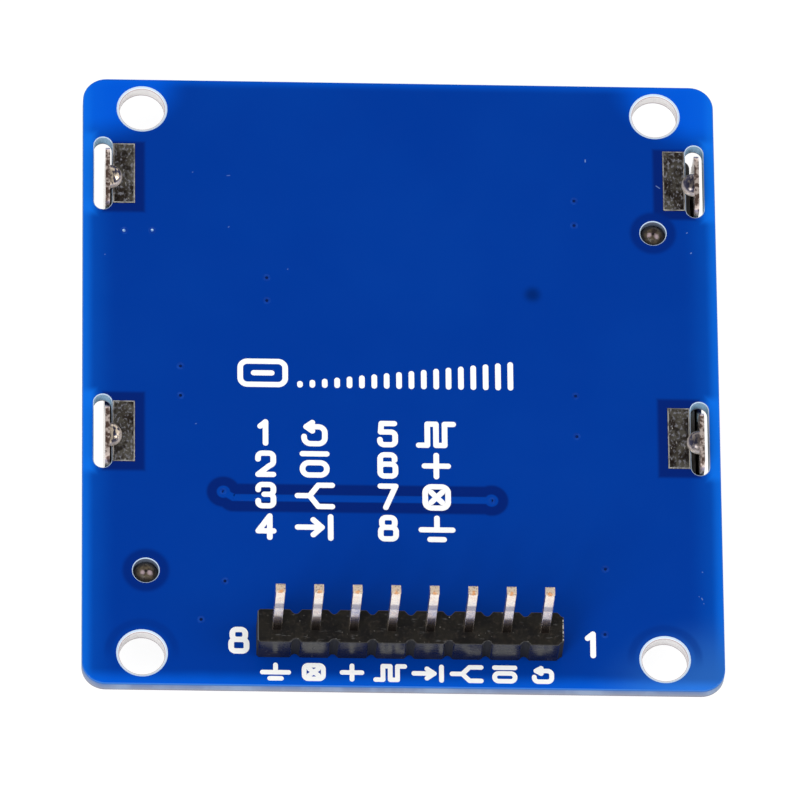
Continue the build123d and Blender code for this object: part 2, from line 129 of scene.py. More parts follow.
class Finish(Shader):
    def __init__(self, name, **fixed):
        self.material = bpy.data.materials.new(name)
        self.material.use_nodes = True
        super().__init__(self.material.node_tree)
        self.surface = self.tree.nodes["Principled BSDF"]
        for words, value in fixed.items():
            self.surface.inputs[words.replace("_", " ")].default_value = value
        coordinates = self.node("ShaderNodeTexCoord", {}, {}, "Object")
        self.place = self.node(
            "ShaderNodeVectorMath", {"operation": "SCALE"}, {0: coordinates, "Scale": 1 / mm}
        )
        self.x = self.node("ShaderNodeSeparateXYZ", {}, {0: self.place}, "X")
        self.y = self.other(self.x, "Y")
        self.z = self.other(self.x, "Z")

    def feed(self, words, wire):
        self.tree.links.new(wire.socket, self.surface.inputs[words])

    def grain(self, size, detail=2.0, stretch=(1, 1, 1)):
        # soft noise of about 0 to 1, with lumps of the given size in millimetres
        spot = self.node("ShaderNodeMapping", {}, {"Vector": self.place, "Scale": stretch})
        values = {"Vector": spot, "Scale": 1 / size, "Detail": detail}
        return self.node("ShaderNodeTexNoise", {}, values)

    def bump(self, height, depth):
        values = {"Height": height, "Distance": depth * mm}
        self.feed("Normal", self.node("ShaderNodeBump", {}, values))

    # distances in millimetres in the plane of the board, negative inside
    def box(self, centreX, centreY, halfX, halfY, mirrored=False):
        acrossX = abs(self.x) if mirrored else self.x
        return (abs(acrossX - centreX) - halfX).larger(abs(self.y - centreY) - halfY)

    def disc(self, centreX, centreY, radius, mirrored=False):
        acrossX = (abs(self.x) if mirrored else self.x) - centreX
        acrossY = self.y - centreY
        return (acrossX * acrossX + acrossY * acrossY).maths("SQRT") - radius

    def strip(self, start, end, radius):
        # a straight strip with round ends
        run = Vector(end) - Vector(start)
        fromX = self.x - start[0]
        fromY = self.y - start[1]
        along = fromX * (run.x / run.length_squared) + fromY * (run.y / run.length_squared)
        along = along.larger(0.0).smaller(1.0)
        offX = fromX - along * run.x
        offY = fromY - along * run.y
        return (offX * offX + offY * offY).maths("SQRT") - radius

    def oval(self, centreX, centreY, breadth, mirrored=False):
        # distance from a point, measured shorter along x by the given breadth
        acrossX = ((abs(self.x) if mirrored else self.x) - centreX) * (1 / breadth)
        acrossY = self.y - centreY
        return (acrossX * acrossX + acrossY * acrossY).maths("SQRT")

    def tint(self, colour, distance, reach, strength, tone):
        # lays a tone over a colour, full up to the start of its reach and gone at the end
        return self.blend((1.0 - self.fade(distance, *reach)) * strength, colour, tone)

    def mottle(self, wire, reach, first, second):
        # one tone turning into another as a wire goes through its reach
        return self.blend(self.fade(wire, *reach), first, second)


def nearest(distances):
    shortest = distances[0]
    for distance in distances[1:]:
        shortest = shortest.smaller(distance)
    return shortest


# What lies on the back of the board, in millimetres
boardLow, boardHigh = span("circuit_board")
headerLow, headerHigh = span("header_body")
pinPitch = span("header_pin_2")[0].x - span("header_pin_1")[0].x
padNames = (
    "clip_pad_left_upper", "clip_pad_left_lower", "clip_pad_right_upper", "clip_pad_right_lower",
)
padSpans = [span(padName) for padName in padNames]
slotRows = sorted({round((low.y + high.y) / 2, 3) for low, high in padSpans})

backLayout = {
    "slotX": 20.03,
    "slotHalf": (0.66, 2.76),
    "padClearance": 0.62,
    "padFarClearances": (0.1, 0.62, 0.1, 0.62),
    "pegs": ((17.15, 11.4), (-17.15, -14.2)),
    "pegRing": 1.6,
    "pegHole": 0.96,
    "leftVia": (-11.96, -8.35),
    "rightVia": (5.98, -8.74),
    "trackBend": (-11.3, -8.77),
    "trackHalf": 0.25,
    "trackClearance": 0.78,
    "trackHeight": 0.018,
    "viaPad": 0.44,
    "viaClearance": 0.68,
    "nearHoles": (17.4, -20.25),
    "blotch": (8.92, 6.65),
    "vias": (
        (-9.00, 7.63), (-9.00, 5.92), (-14.82, 0.93), (-14.82, -1.26), (11.83, 13.74),
        (11.81, 11.89), (11.72, -0.90), (11.76, -3.92), (-11.88, -14.93), (-13.47, -17.76),
        (13.52, -13.68), (13.42, -18.48),
    ),
    # two vias with a painted highlight in the dimple
    "paintedGlintVias": ((-18.61, 11.03), (-16.72, 11.06)),
    # fine scratches and dust, the first of them a painted glint: both ends and half the width
    "scratches": (
        ((12.64, 16.72), (12.64, 16.88), 0.03), ((17.42, 14.98), (17.66, 14.80), 0.02),
        ((-11.66, 15.28), (-11.46, 15.30), 0.01), ((-11.58, 11.38), (-11.52, 11.44), 0.015),
        ((-7.60, 8.28), (-7.56, 8.32), 0.015), ((-14.00, 15.50), (-13.96, 15.52), 0.015),
        ((-13.82, -3.35), (-13.76, -3.33), 0.015), ((19.42, 11.44), (19.48, 11.48), 0.02),
        ((19.68, 9.92), (19.72, 9.96), 0.03), ((-19.92, 9.20), (-19.88, 9.22), 0.015),
        ((20.00, -13.80), (20.03, -13.82), 0.02), ((19.92, -15.72), (19.98, -15.84), 0.02),
        ((19.74, -15.60), (19.78, -15.62), 0.01), ((20.05, -16.10), (20.07, -16.14), 0.01),
    ),
}

# edge, thinEdge, corner, glowHaze and paleEdge are painted light through the laminate
maskTones = {
    "plain": paint(0, 54, 150),
    "cloud": paint(1, 57, 153),
    "clearance": paint(4, 35, 113),
    "pegRing": paint(2, 40, 124),
    "edge": paint(12, 112, 230),
    "thinEdge": paint(2, 92, 216),
    "corner": paint(0, 87, 214),
    "glowHaze": paint(40, 98, 180),
    "paleEdge": paint(42, 118, 222),
    "copper": paint(2, 62, 160),
    "blotch": paint(0, 37, 108),
    "scratch": paint(130, 158, 206),
}

# painted light through the bare laminate at the edges, the corners and beside the slots: reach in
# millimetres, or reach and strength
edgeGlow = {
    "corner": ((2.5, 4.9), 0.96),
    "near": ((0.05, 1.2), 0.85),
    "far": ((0.0, 0.7), 0.5),
    "wideSide": ((0.2, 2.4), 0.2),
    "side": ((0.1, 0.85), 0.56),
    "besideSlots": ((-0.35, 0.4), 0.8),
    "besideSlotsHalf": (0.8, 3.0),
    "cornerInset": (0.8, 0.2),
    "cornerBreadth": 1.35,
    "hazeReach": (0.8, 6.0),
    "hazeBreadth": 1.6,
    "hazeStrength": 0.9,
    "paleReach": (0.1, 0.9),
}

# soft borders of what shows through the mask on the back, in millimetres
backBorders = {
    "depth": (0.2, 0.1),
    "padClearance": (-0.12, 0.2),
    "trackClearance": (-0.12, 0.12),
    "nearHoleRadius": 2.25,
    "nearHoles": (0.1, 0.4),
    "nearHolesFrom": (1.4, 3.0),
    "blotch": (0.1, 0.85),
    "pegRing": (-0.24, 0.16),
    "copper": (-0.05, 0.06),
    "scratch": (-0.03, 0.03),
}


# painted light: lighter blue along the edges, at the corners, the near right corner and beside
# the slots
def edgeGlowColour(finish, colour, fromEdges, ragged):
    tones = maskTones
    glow = edgeGlow
    inX, inY = glow["cornerInset"]
    breadth = glow["cornerBreadth"]
    corners = finish.oval(boardHigh.x - inX, boardHigh.y - inY, breadth, mirrored=True) + ragged
    near = fromEdges["near"] + ragged * 0.5
    far = fromEdges["far"] + ragged * 0.3
    side = fromEdges["side"] + ragged * 0.3
    wideSide = fromEdges["side"] + ragged
    colour = finish.tint(colour, corners, *glow["corner"], tones["corner"])
    colour = finish.tint(colour, near, *glow["near"], tones["thinEdge"])
    colour = finish.tint(colour, far, *glow["far"], tones["thinEdge"])
    colour = finish.tint(colour, wideSide, *glow["wideSide"], tones["edge"])
    colour = finish.tint(colour, side, *glow["side"], tones["edge"])
    fromHaze = finish.oval(boardHigh.x, boardLow.y, glow["hazeBreadth"]) + ragged
    glowHaze = (1.0 - finish.fade(fromHaze, *glow["hazeReach"])) * glow["hazeStrength"]
    colour = finish.blend(glowHaze, colour, tones["glowHaze"])
    colour = finish.tint(colour, near, glow["paleReach"], glowHaze, tones["paleEdge"])
    halfX, halfY = glow["besideSlotsHalf"]
    besideSlots = nearest([
        finish.box(boardHigh.x, row, halfX, halfY, mirrored=True) for row in slotRows
    ])
    return finish.tint(colour, besideSlots + ragged * 0.3, *glow["besideSlots"], tones["edge"])


def backColour(finish, colour, fromNearEdge, ragged):
    # cleared copper round the pads and the track shows dark through the mask, on the back only
    tones = maskTones
    lay = backLayout
    border = backBorders
    below, above = border["depth"]
    isBack = finish.fade(finish.z, boardHigh.z - below, boardHigh.z - above)
    gap = lay["padClearance"]
    clearPads = nearest([
        finish.box(
            (low.x + high.x) / 2,
            (low.y + high.y + farGap - gap) / 2,
            (high.x - low.x) / 2 + gap,
            (high.y - low.y + farGap + gap) / 2,
        )
        for (low, high), farGap in zip(padSpans, lay["padFarClearances"])
    ])
    colour = finish.tint(colour, clearPads, border["padClearance"], isBack, tones["clearance"])

    viaReach = lay["viaPad"] + lay["viaClearance"]
    trackReach = lay["trackHalf"] + lay["trackClearance"]
    clearTrack = nearest([
        finish.strip(lay["trackBend"], lay["rightVia"], trackReach),
        finish.disc(*lay["leftVia"], viaReach),
        finish.disc(*lay["rightVia"], viaReach),
    ])
    colour = finish.tint(colour, clearTrack, border["trackClearance"], isBack, tones["clearance"])

    nearHoles = finish.disc(*lay["nearHoles"], border["nearHoleRadius"], mirrored=True)
    nearHoles = abs(nearHoles) + ragged * 0.3
    holeShade = isBack * finish.fade(fromNearEdge, *border["nearHolesFrom"]) * 0.4
    colour = finish.tint(colour, nearHoles, border["nearHoles"], holeShade, tones["pegRing"])
    blotch = finish.disc(*lay["blotch"], 0.0) + ragged * 0.5
    colour = finish.tint(colour, blotch, border["blotch"], isBack * 0.9, tones["blotch"])
    rings = nearest([finish.disc(*spot, lay["pegRing"]) for spot in lay["pegs"]])
    colour = finish.tint(colour, rings, border["pegRing"], isBack, tones["pegRing"])
    copper = nearest([
        finish.strip(lay["trackBend"], lay["rightVia"], lay["trackHalf"]),
        finish.strip(lay["leftVia"], lay["trackBend"], lay["trackHalf"]),
        finish.disc(*lay["leftVia"], lay["viaPad"]),
        finish.disc(*lay["rightVia"], lay["viaPad"]),
    ])
    colour = finish.tint(colour, copper, border["copper"], isBack, tones["copper"])
    # scratches and dust, with one painted glint among them
    scratches = nearest([finish.strip(start, end, half) for start, end, half in lay["scratches"]])
    return finish.tint(colour, scratches, border["scratch"], isBack * 0.8, tones["scratch"])


wallTones = {
    "outer": paint(138, 160, 206),
    "pale": paint(184, 206, 238),
    "low": paint(170, 178, 200),
    "hole": paint(252, 250, 250),
    "slot": paint(158, 196, 222),
    "peg": paint(108, 120, 140),
    "line": paint(150, 124, 132),
    "rim": paint(198, 218, 240),
    "outerRim": paint(60, 124, 214),
}

# millimetres above the board's front or below its back, or in from a wall
wallBands = {
    "skin": (0.004, 0.006),
    "inside": (0.0, 0.1),
    "outside": (0.48, 0.51),
    "lowFrom": 0.1,
    "lowTo": 0.3,
    "outerRim": (0.32, 0.06),
    "rim": (0.10, 0.05),
    "rimLineDepth": 0.11,
    "rimLine": (0.008, 0.022),
    "footLine": (0.06, 0.14),
}


def wallColour(finish, fromEdges, layers):
    # the cut walls show the laminate: blue to lilac outside, white in holes, bluish in slots, and
    # darker in the peg holes as painted shade
    tones = wallTones
    band = wallBands
    lay = backLayout
    low = boardLow.z
    high = boardHigh.z
    inSlots = nearest([
        finish.box(lay["slotX"], row, *lay["slotHalf"], mirrored=True) for row in slotRows
    ])
    inPegs = nearest([finish.disc(*spot, lay["pegHole"]) for spot in lay["pegs"]])
    bare = finish.tint(tones["hole"], inSlots, band["inside"], 1.0, tones["slot"])
    # painted shade on the walls of the peg holes, which the pegs close from below
    bare = finish.tint(bare, inPegs, band["inside"], 1.0, tones["peg"])
    bare = finish.blend(finish.fade(layers, 0.45, 0.8) * 0.25, bare, tones["line"])
    rim = [high - depth for depth in band["rim"]]
    bare = finish.mottle(finish.z, rim, bare, tones["rim"])
    rimLine = abs(finish.z - high + band["rimLineDepth"])
    bare = finish.tint(bare, rimLine, band["rimLine"], 0.75, tones["line"])

    streaks = finish.fade(finish.grain(2.2, 3.0, (1.0, 1.0, 0.3)), 0.42, 0.66)
    heights = (low + band["lowFrom"], high - band["lowTo"])
    outer = finish.mottle(finish.z, heights, tones["low"], tones["outer"])
    outer = finish.blend(streaks * 0.6, outer, tones["pale"])
    outerRim = [high - depth for depth in band["outerRim"]]
    outer = finish.mottle(finish.z, outerRim, outer, tones["outerRim"])
    isOuter = 1.0 - finish.fade(nearest(list(fromEdges.values())), *band["outside"])
    bare = finish.blend(isOuter, bare, outer)
    footLine = [low + rise for rise in band["footLine"]]
    return finish.tint(bare, finish.z, footLine, 0.6, tones["line"])


def maskFinish():
    # blue mask over copper, with painted light coming through the laminate where no copper backs
    # it, at the edges, the corners and beside the slots
    finish = Finish("boardMask", Specular_IOR_Level=0.05)
    fromEdges = {
        "side": abs(finish.x) * -1.0 + boardHigh.x,
        "near": finish.y - boardLow.y,
        "far": finish.y * -1.0 + boardHigh.y,
    }
    colour = finish.mottle(
        finish.grain(9.0, 3.0), (0.35, 0.75), maskTones["plain"], maskTones["cloud"]
    )
    ragged = (finish.grain(1.6) - 0.5) * 0.3
    colour = edgeGlowColour(finish, colour, fromEdges, ragged)
    colour = backColour(finish, colour, fromEdges["near"], ragged)
    layers = finish.grain(0.16, 2.0, (0.12, 0.12, 1.0))
    walls = wallColour(finish, fromEdges, layers)
    skinLow, skinHigh = wallBands["skin"]
    aboveFront = finish.fade(finish.z, boardLow.z + skinLow, boardLow.z + skinHigh)
    nearBack = finish.fade(finish.z, boardHigh.z - skinHigh, boardHigh.z - skinLow)
    isWall = aboveFront * (1.0 - nearBack)
    finish.feed("Base Color", finish.blend(isWall, colour, walls))
    finish.feed("Roughness", isWall * 0.4 + finish.grain(2.5, 3.0) * 0.1 + 0.14)
    finish.bump(finish.grain(0.35, 3.0) + layers * isWall * 2.0, 0.004)
    return finish.material


def metalFinish(name, tone, shade, rough, lump, depth):
    # plated metal with cloudy tarnish and fine scratches
    finish = Finish(name, Metallic=1.0)
    cloud = finish.grain(lump, 4.0)
    lines = finish.grain(lump * 0.12, 3.0)
    finish.feed("Base Color", finish.mottle(cloud, (0.35, 0.7), tone, shade))
    finish.feed("Roughness", cloud * 0.25 + lines * 0.12 + rough)
    finish.bump(lines + cloud * 0.6, depth)
    return finish.material


tinTones = {
    "brown": paint(50, 42, 36),
    "olive": paint(94, 90, 82),
    "spot": paint(136, 136, 144),
    "patch": paint(26, 16, 12),
    "lipHighlightAndScratches": paint(226, 222, 216),
}


def tinnedFinish():
    # dull hot-air levelled solder: brown and olive clouds, a few bright scratches, and a painted
    # highlight along the lip
    finish = Finish("tinnedPad")
    cloud = finish.grain(0.9, 4.0)
    spots = finish.grain(0.18, 4.0, (1.0, 0.75, 1.0))
    patches = finish.fade(finish.grain(0.7, 4.0), 0.52, 0.64)
    scratches = finish.fade(finish.grain(0.12, 2.0, (1.0, 0.35, 1.0)), 0.68, 0.76)
    padTop = padSpans[0][1].z
    # painted highlight: the lip top is painted bright in patches
    lip = finish.fade(finish.z, padTop - 0.012, padTop - 0.004)
    lip = lip * (finish.fade(finish.grain(0.7, 3.0), 0.38, 0.62) * 0.65 + 0.2)
    dull = finish.mottle(cloud, (0.38, 0.62), tinTones["brown"], tinTones["olive"])
    dull = finish.mottle(spots, (0.5, 0.66), dull, tinTones["spot"])
    dull = finish.blend(patches * 0.8, dull, tinTones["patch"])
    lipHighlightAndScratches = lip.larger(scratches)
    finish.feed("Base Color", finish.blend(lipHighlightAndScratches, dull, tinTones["lipHighlightAndScratches"]))
    finish.feed("Metallic", lipHighlightAndScratches * 0.1 + 0.4)
    finish.feed("Roughness", spots * 0.3 + cloud * 0.1 + 0.15)
    finish.bump(spots + cloud * 0.5, 0.05)
    return finish.material


bezelTones = {
    "plate": paint(226, 220, 212),
    "plateCloud": paint(214, 207, 198),
    "clipDark": paint(112, 90, 80),
    "clipPale": paint(244, 226, 216),
    "barbFootHighlight": paint(252, 240, 232),
    "barbTopDarkReflection": paint(56, 56, 78),
    "barbScuffAndGlint": paint(238, 220, 196),
}

# millimetres above the board's back, and in from the bezel's side
clipWearAndSheen = {
    "clipFrom": (-0.5, -0.1),
    "barbFrom": (0.27, 0.36),
    "barbTopFrom": (0.3, 0.5),
    "rightSide": (-0.5, 0.5),
    "rightScuffsAndGlints": 0.75,
}


def bezelFinish():
    # bright plated sheet; the clips are worn from snapping in, with brown and pale streaks that
    # are also painted reflections and highlights; the barbs have a painted dark reflection on
    # top, a painted highlight at the foot and painted glints among the scuffs
    finish = Finish("bezelPlate")
    tones = bezelTones
    cloud = finish.grain(2.5, 4.0)
    lines = finish.grain(0.3, 3.0, (0.1, 1.0, 1.0))
    streaks = finish.grain(0.35, 3.0, (1.0, 1.0, 0.35))
    bezelLow, bezelHigh = span("bezel")
    middleX = (bezelLow.x + bezelHigh.x) / 2
    fromSide = abs(finish.x - middleX) * -1.0 + (bezelHigh.x - bezelLow.x) / 2
    aboveBack = finish.z - boardHigh.z
    clip = finish.fade(aboveBack, *clipWearAndSheen["clipFrom"])
    # painted light on the barbs: a dark reflection on top, a highlight at the foot, glints among
    # the scuffs, fewer on the right
    barb = finish.fade(fromSide, *clipWearAndSheen["barbFrom"])
    barbTopDarkReflection = finish.fade(aboveBack + (cloud - 0.5) * 0.2, *clipWearAndSheen["barbTopFrom"])
    isRight = finish.fade(finish.x, *clipWearAndSheen["rightSide"])
    scuffsAndGlints = finish.fade(finish.grain(0.22, 3.0, (1.0, 0.5, 0.5)), 0.42, 0.58)
    scuffsAndGlints = scuffsAndGlints * (1.0 - isRight * clipWearAndSheen["rightScuffsAndGlints"])
    plate = finish.mottle(cloud, (0.3, 0.75), tones["plate"], tones["plateCloud"])
    worn = finish.mottle(streaks, (0.42, 0.6), tones["clipDark"], tones["clipPale"])
    barbTone = finish.blend(scuffsAndGlints, tones["barbTopDarkReflection"], tones["barbScuffAndGlint"])
    barbTone = finish.blend(barbTopDarkReflection, tones["barbFootHighlight"], barbTone)
    worn = finish.blend(barb, worn, barbTone)
    finish.feed("Base Color", finish.blend(clip, plate, worn))
    finish.feed("Metallic", 1.0 - clip * 0.4)
    finish.feed("Roughness", cloud * 0.2 + lines * 0.12 + 0.1)
    finish.bump(lines + cloud * 0.6, 0.006)
    return finish.material


pinTones = {
    "plating": paint(255, 244, 230),
    "cloud": paint(252, 232, 214),
    "band": paint(160, 156, 166),
    "footReflection": paint(118, 104, 100),
    "cut": paint(222, 202, 180),
    "fleck": paint(110, 84, 96),
    "brass": paint(222, 150, 84),
}

# millimetres below the pin's top, above the header, and from the pin's middle
pinMarks = {
    "tip": (0.3, 0.15),
    "cut": (0.16, 0.1),
    "reflectionBandHeight": 3.75,
    "band": (0.25, 0.5),
    "footReflection": (1.9, 2.4),
    "footReflectionBreadth": (0.24, 0.29),
    "brassSide": 0.26,
    "brass": (0.06, 0.18),
}


def pinFinish():
    # bright plating; the cut top is pale and rough, with a spot of bare brass on its near side; a
    # lilac-grey band and the darker foot are painted reflections
    finish = Finish("pinPlating")
    tones = pinTones
    mark = pinMarks
    pinLow, pinHigh = span("header_pin_1")
    cloud = finish.grain(0.6, 3.0)
    lines = finish.grain(0.05, 2.0, (1.0, 1.0, 0.08))
    ragged = (finish.grain(0.16) - 0.5) * 0.45
    flecks = finish.fade(finish.grain(0.11, 3.0), 0.56, 0.66)
    alongRow = (finish.x - headerLow.x) * (1 / pinPitch)
    fromPin = abs(alongRow.maths("FRACT") - 0.5) * pinPitch
    fromNear = finish.y - (pinLow.y + pinHigh.y) / 2 + mark["brassSide"]
    fromBrass = (fromPin * fromPin + fromNear * fromNear).maths("SQRT") + ragged
    tipFrom, tipTo = mark["tip"]
    cutFrom, cutTo = mark["cut"]
    isTip = finish.fade(finish.z + ragged * 0.3, pinHigh.z - tipFrom, pinHigh.z - tipTo)
    isCut = finish.fade(finish.z + ragged * 0.2, pinHigh.z - cutFrom, pinHigh.z - cutTo)
    brass = isTip * (1.0 - finish.fade(fromBrass, *mark["brass"])) * 0.8
    aboveHeader = finish.z - headerHigh.z + ragged * 0.4
    fromReflectionBand = abs(aboveHeader - mark["reflectionBandHeight"])
    footReflection = (1.0 - finish.fade(fromPin, *mark["footReflectionBreadth"])) * 0.9
    plating = finish.mottle(cloud, (0.4, 0.7), tones["plating"], tones["cloud"])
    # painted reflections: a lilac-grey band up the pin, and the black header darkening the foot
    plating = finish.tint(plating, fromReflectionBand, mark["band"], 0.75, tones["band"])
    plating = finish.tint(plating, aboveHeader, mark["footReflection"], footReflection, tones["footReflection"])
    plating = finish.blend(isCut, plating, tones["cut"])
    plating = finish.blend(isTip * flecks * 0.8, plating, tones["fleck"])
    finish.feed("Base Color", finish.blend(brass, plating, tones["brass"]))
    finish.feed("Metallic", 1.0 - isCut * 0.65)
    finish.feed("Roughness", cloud * 0.08 + lines * 0.08 + isCut * 0.4 + 0.16)
    finish.bump(lines + isCut * finish.grain(0.12) * 6.0, 0.006)
    return finish.material


def plasticFinish(name, tone, dust, rough, lump=1.2):
    # moulded plastic with a faint cloudy skin and a few pale specks
    finish = Finish(name)
    cloud = finish.grain(lump, 3.0)
    speck = finish.fade(finish.grain(0.13, 1.0), 0.74, 0.82)
    lighter = tuple(min(1.0, part * 1.5 + 0.001) for part in tone[:3]) + (1.0,)
    colour = finish.mottle(cloud, (0.3, 0.75), tone, lighter)
    finish.feed("Base Color", finish.blend(speck, colour, dust))
    finish.feed("Roughness", cloud * 0.2 + rough)
    finish.bump(finish.grain(0.08) + cloud, 0.01)
    return finish.material


headerTones = {
    "plain": paint(21, 20, 21),
    "cloud": paint(36, 33, 28),
    "worn": paint(62, 54, 48),
    "fineScratch": paint(96, 96, 96),
    "rightBurr": paint(196, 192, 186),
    "leftEndHighlight": paint(112, 116, 124),
    "speck": paint(140, 136, 130),
    "notchShade": paint(8, 10, 18),
}

headerEdges = {
    "top": (0.1, 0.04),
    "notchShade": (0.26, 0.34),
    "rightBurr": (0.05, 0.11),
    "leftEndHighlight": (0.03, 0.08),
}


def headerFinish():
    # black moulding: worn top, glossy walls with wavy scratches, notches matte and darkened as
    # painted shade, and a painted highlight on the left end
    finish = Finish("headerPlastic")
    tones = headerTones
    edges = headerEdges
    cloud = finish.grain(1.1, 3.0)
    scratch = finish.grain(0.3, 3.0, (0.35, 1.0, 1.0))
    alongRow = (finish.x - headerLow.x) * (1 / pinPitch) + 0.5
    fromNotch = abs(alongRow.maths("FRACT") - 0.5) * pinPitch
    fromMiddle = abs(finish.y - (headerLow.y + headerHigh.y) / 2)
    halfY = (headerHigh.y - headerLow.y) / 2
    wide, narrow = edges["top"]
    isTop = finish.fade(finish.z, headerHigh.z - wide, headerHigh.z - narrow)
    # painted shade deep in the notches
    notchShade = (1.0 - finish.fade(fromNotch, *edges["notchShade"])) * (1.0 - isTop)
    notchShade = notchShade * (1.0 - finish.fade(fromMiddle, halfY - wide, halfY - narrow))
    speck = finish.fade(finish.grain(0.13, 1.0), 0.75, 0.8)
    worn = finish.fade(finish.grain(0.25, 4.0), 0.5, 0.75) * isTop
    fine = finish.fade(finish.grain(0.14, 3.0, (0.25, 1.0, 1.0)), 0.64, 0.72) * isTop
    burr = finish.fade(finish.grain(0.16, 3.0), 0.42, 0.56) * 0.9
    fromRight = finish.x * -1.0 + headerHigh.x
    fromLeft = finish.x - headerLow.x
    colour = finish.mottle(cloud, (0.3, 0.75), tones["plain"], tones["cloud"])
    colour = finish.blend(worn * 0.45, colour, tones["worn"])
    colour = finish.blend(fine * 0.5, colour, tones["fineScratch"])
    colour = finish.tint(colour, fromRight, edges["rightBurr"], burr, tones["rightBurr"])
    # painted highlight on the left end
    colour = finish.tint(colour, fromLeft, edges["leftEndHighlight"], 0.6, tones["leftEndHighlight"])
    colour = finish.blend(speck, colour, tones["speck"])
    finish.feed("Base Color", finish.blend(notchShade, colour, tones["notchShade"]))
    finish.feed("Roughness", cloud * 0.12 + scratch * 0.12 + notchShade * 0.5 + isTop * 0.06 + 0.16)
    finish.bump(scratch + cloud + worn * 0.5, 0.016)
    return finish.material


def inkFinish():
    # screen-printed ink, a little thin and grainy at places
    finish = Finish("printInk", Specular_IOR_Level=0.2)
    grain = finish.grain(0.22, 3.0)
    colour = finish.mottle(grain, (0.55, 0.9), paint(255, 255, 254), paint(232, 238, 246))
    finish.feed("Base Color", colour)
    finish.feed("Roughness", grain * 0.2 + 0.45)
    finish.bump(grain, 0.008)
    return finish.material


guideTones = {
    "milky": paint(226, 226, 220),
    "milkyCloud": paint(238, 238, 234),
    "pegShade": paint(44, 36, 34),
    "pegShadeSpot": paint(92, 82, 66),
    "pegHighlight": paint(176, 156, 162),
    "pegMiddle": paint(24, 18, 24),
    "pegRim": paint(62, 62, 64),
    "slotShade": paint(46, 34, 28),
}

guideMarks = {
    "pegFrom": 0.2,
    "highlightAside": (0.25, -0.04),
    "highlightNear": 0.12,
    "mark": (0.06, 0.24),
    "middle": (0.05, 0.14),
    "rim": (0.56, 0.74),
    "slotShadeX": (18.3, 18.7),
    "slotShadeDepth": (0.9, 0.4),
}


def guideFinish():
    # clear moulding: milky below the board, with painted shade near the slots; a peg end is
    # painted dark as shade in its hole, lighter towards its rim, with two painted pale highlights
    # beside a painted dark middle
    finish = Finish("clearMoulding")
    tones = guideTones
    mark = guideMarks
    cloud = finish.grain(1.5, 3.0)
    spots = finish.grain(0.3, 3.0)
    isPeg = finish.fade(finish.z, boardLow.z, boardLow.z + mark["pegFrom"])
    asideX, asideY = mark["highlightAside"]
    middles = nearest([finish.disc(*spot, 0.0) for spot in backLayout["pegs"]])
    # two painted highlights beside each peg's middle
    highlightSpots = nearest([
        finish.disc(spot[0] + side * asideX, spot[1] - mark["highlightNear"] + side * asideY, 0.0)
        for spot in backLayout["pegs"] for side in (-1, 1)
    ])
    highlightSpots = highlightSpots + (spots - 0.5) * 0.35
    pegShade = finish.mottle(spots, (0.3, 0.7), tones["pegShade"], tones["pegShadeSpot"])
    pegShade = finish.tint(pegShade, highlightSpots, mark["mark"], 0.85, tones["pegHighlight"])
    pegShade = finish.tint(pegShade, middles, mark["middle"], 0.9, tones["pegMiddle"])
    pegShade = finish.mottle(middles, mark["rim"], pegShade, tones["pegRim"])
    shadeFrom, shadeTo = mark["slotShadeDepth"]
    nearBoard = finish.fade(finish.z, boardLow.z - shadeFrom, boardLow.z - shadeTo)
    shaded = finish.fade(abs(finish.x), *mark["slotShadeX"]) * nearBoard
    milky = finish.blend(cloud, tones["milky"], tones["milkyCloud"])
    milky = finish.blend(shaded * 0.9, milky, tones["slotShade"])
    finish.feed("Base Color", finish.blend(isPeg, milky, pegShade))
    finish.feed("Roughness", cloud * 0.12 + isPeg * 0.12 + 0.08)
    finish.bump(spots, 0.02)
    return finish.material


display = {
    "dotPitch": 0.26,
    "dotEdge": (0.38, 0.46),
    "areaHalf": (16.6, 11.0),
    "areaEdge": (-0.02, 0.02),
    "field": paint(158, 170, 150),
    "fieldCloud": paint(148, 161, 143),
    "dot": paint(118, 132, 112),
}


def displayFinish():
    # reflective display: a pale field with the faint dots of the picture area
    finish = Finish("displayFilm")
    filmLow, filmHigh = span("front_polariser")
    middle = (filmLow + filmHigh) / 2
    gaps = [
        abs((along * (1 / display["dotPitch"])).maths("FRACT") - 0.5)
        for along in (finish.x, finish.y)
    ]
    gaps = [finish.fade(gap, *display["dotEdge"]) for gap in gaps]
    fromArea = finish.box(middle.x, middle.y, *display["areaHalf"])
    area = 1.0 - finish.fade(fromArea, *display["areaEdge"])
    dots = (1.0 - gaps[0].larger(gaps[1])) * area
    cloud = finish.grain(7.0, 3.0)
    field = finish.mottle(cloud, (0.3, 0.7), display["field"], display["fieldCloud"])
    finish.feed("Base Color", finish.blend(dots * 0.35, field, display["dot"]))
    finish.feed("Roughness", cloud * 0.1 + 0.14)
    finish.bump(finish.grain(0.5), 0.002)
    return finish.material


def glassFinish():
    # display glass, seen only at its cut edges and on the contact ledge
    finish = Finish("cellGlass")
    grain = finish.grain(0.6, 3.0)
    colour = finish.blend(grain, paint(176, 196, 186), paint(196, 212, 204))
    finish.feed("Base Color", colour)
    finish.feed("Roughness", grain * 0.2 + 0.05)
    finish.bump(grain, 0.004)
    return finish.material


